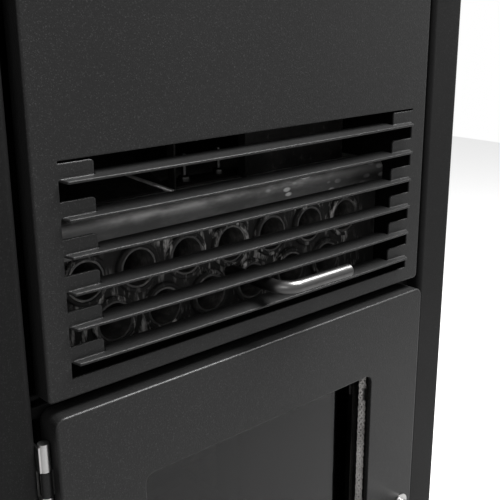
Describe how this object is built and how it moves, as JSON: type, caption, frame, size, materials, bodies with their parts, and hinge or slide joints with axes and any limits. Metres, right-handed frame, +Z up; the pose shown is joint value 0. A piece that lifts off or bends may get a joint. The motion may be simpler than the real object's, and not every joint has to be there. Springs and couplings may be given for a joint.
{
  "type": "pellet stove",
  "caption": "Free-standing cabinet pellet stove with a louvred warm-air outlet over a glazed fire door, top hopper lid, ash drawer and cleaning rod.",
  "frame": {"origin": "on the floor under the middle of the cabinet, on the underside of the base plate", "axes": "+Z up, +Y from the front to the back, +X to the right seen from the front"},
  "size_m": [0.578, 0.712, 0.9913],
  "materials": {
    "cabinet_paint": "satin black powder coat",
    "sooty_steel": "dull heat-resistant paint, sooty",
    "tube_steel": "mill-scaled and sooted",
    "sheet_steel": "galvanised",
    "bright_steel": "bright, lightly brushed",
    "cast_iron": "rough cast",
    "firebrick": "matt refractory",
    "door_glass": "clear ceramic glass",
    "rope": "braided glass-fibre rope",
    "motor_black": "satin",
    "black_plastic": "moulded",
    "grey_plastic": "moulded"
  },
  "bodies": {
    "cabinet": {"plinth": "cabinet_paint", "side_panel_left": "cabinet_paint", "side_panel_right": "cabinet_paint", "rear_panel": "cabinet_paint", "rear_screws": "bright_steel", "top_plate": "cabinet_paint", "upper_front_panel": "cabinet_paint", "cross_rail": "cabinet_paint", "firebox_face": "sooty_steel", "firebox_shell": "sooty_steel", "firebox_stand": "sooty_steel", "exchanger_tubes": "tube_steel", "exchanger_cover": "sooty_steel", "outlet_duct": "sheet_steel", "baffle_bracket": "sooty_steel", "baffle_bolts": "bright_steel", "firebrick": "firebrick", "burn_pot": "cast_iron", "pot_holder": "sooty_steel", "igniter": "bright_steel", "drop_chute": "sooty_steel", "hopper": "sheet_steel", "hopper_grate": "sheet_steel", "auger_tube": "sheet_steel", "auger_motor": "motor_black", "air_plenum": "sheet_steel", "convection_housing": "sheet_steel", "convection_motor": "motor_black", "exhaust_duct": "sheet_steel", "exhaust_housing": "sheet_steel", "exhaust_motor": "motor_black", "flue_stub": "sheet_steel", "intake_pipe": "sheet_steel", "power_inlet": "black_plastic", "door_hinge_brackets": "bright_steel", "door_hinge_pins": "bright_steel", "door_keeper": "bright_steel", "lid_pins": "bright_steel", "control_panel": "black_plastic"},
    "scraper": {"cleaning_rod": "bright_steel", "scraper_plate": "tube_steel"},
    "fire_door": {"door_frame": "cabinet_paint", "door_liner": "sooty_steel", "door_glass": "door_glass", "glass_gasket": "rope", "glass_clips": "bright_steel", "door_gasket": "rope"},
    "latch": {"latch_shaft": "bright_steel", "latch_grip": "black_plastic", "latch_cam": "bright_steel"},
    "lid": {"hopper_lid": "cabinet_paint", "lid_handle": "bright_steel"},
    "ash_tray": {"ash_drawer": "sheet_steel", "drawer_front": "cabinet_paint", "drawer_pull": "bright_steel"},
    "auger": {"auger_screw": "sheet_steel"},
    "room_fan": {"convection_wheel": "sheet_steel"},
    "exhaust_fan": {"exhaust_impeller": "sheet_steel"},
    "button": {"power_button": "grey_plastic"},
    "knob": {"feed_knob": "black_plastic"}
  },
  "joints": [
    {"name": "cleaning_rod_pull", "type": "slide", "parent": "cabinet", "child": "scraper", "axis": [0, -1, 0], "range_m": [0, 0.19]},
    {"name": "door_swing", "type": "hinge", "parent": "cabinet", "child": "fire_door", "pos_m": [-0.231, -0.298, 0.369], "axis": [0, 0, -1], "range_deg": [0, 105]},
    {"name": "latch_turn", "type": "hinge", "parent": "fire_door", "child": "latch", "pos_m": [0.206, -0.3, 0.309], "axis": [0, 1, 0], "range_deg": [0, 90]},
    {"name": "lid_swing", "type": "hinge", "parent": "cabinet", "child": "lid", "pos_m": [0, 0.288, 0.952], "axis": [-1, 0, 0], "range_deg": [0, 85]},
    {"name": "ash_drawer_slide", "type": "slide", "parent": "cabinet", "child": "ash_tray", "axis": [0, -1, 0], "range_m": [0, 0.23]},
    {"name": "auger_spin", "type": "hinge", "parent": "cabinet", "child": "auger", "pos_m": [0, -0.015, 0.5], "axis": [0, 0.8192, -0.5736], "continuous": true},
    {"name": "room_fan_spin", "type": "hinge", "parent": "cabinet", "child": "room_fan", "pos_m": [0.15, 0.055, 0.18], "axis": [1, 0, 0], "continuous": true},
    {"name": "exhaust_fan_spin", "type": "hinge", "parent": "cabinet", "child": "exhaust_fan", "pos_m": [-0.139, 0.09, 0.2], "axis": [1, 0, 0], "continuous": true},
    {"name": "power_button_press", "type": "slide", "parent": "cabinet", "child": "button", "axis": [0, 0, -1], "range_m": [0, 0.0015], "stiffness_N_per_m": 400, "springref_m": -0.0008},
    {"name": "feed_knob_turn", "type": "hinge", "parent": "cabinet", "child": "knob", "pos_m": [0.236, -0.205, 0.96], "axis": [0, 0, -1], "range_deg": [-135, 135]}
  ]
}
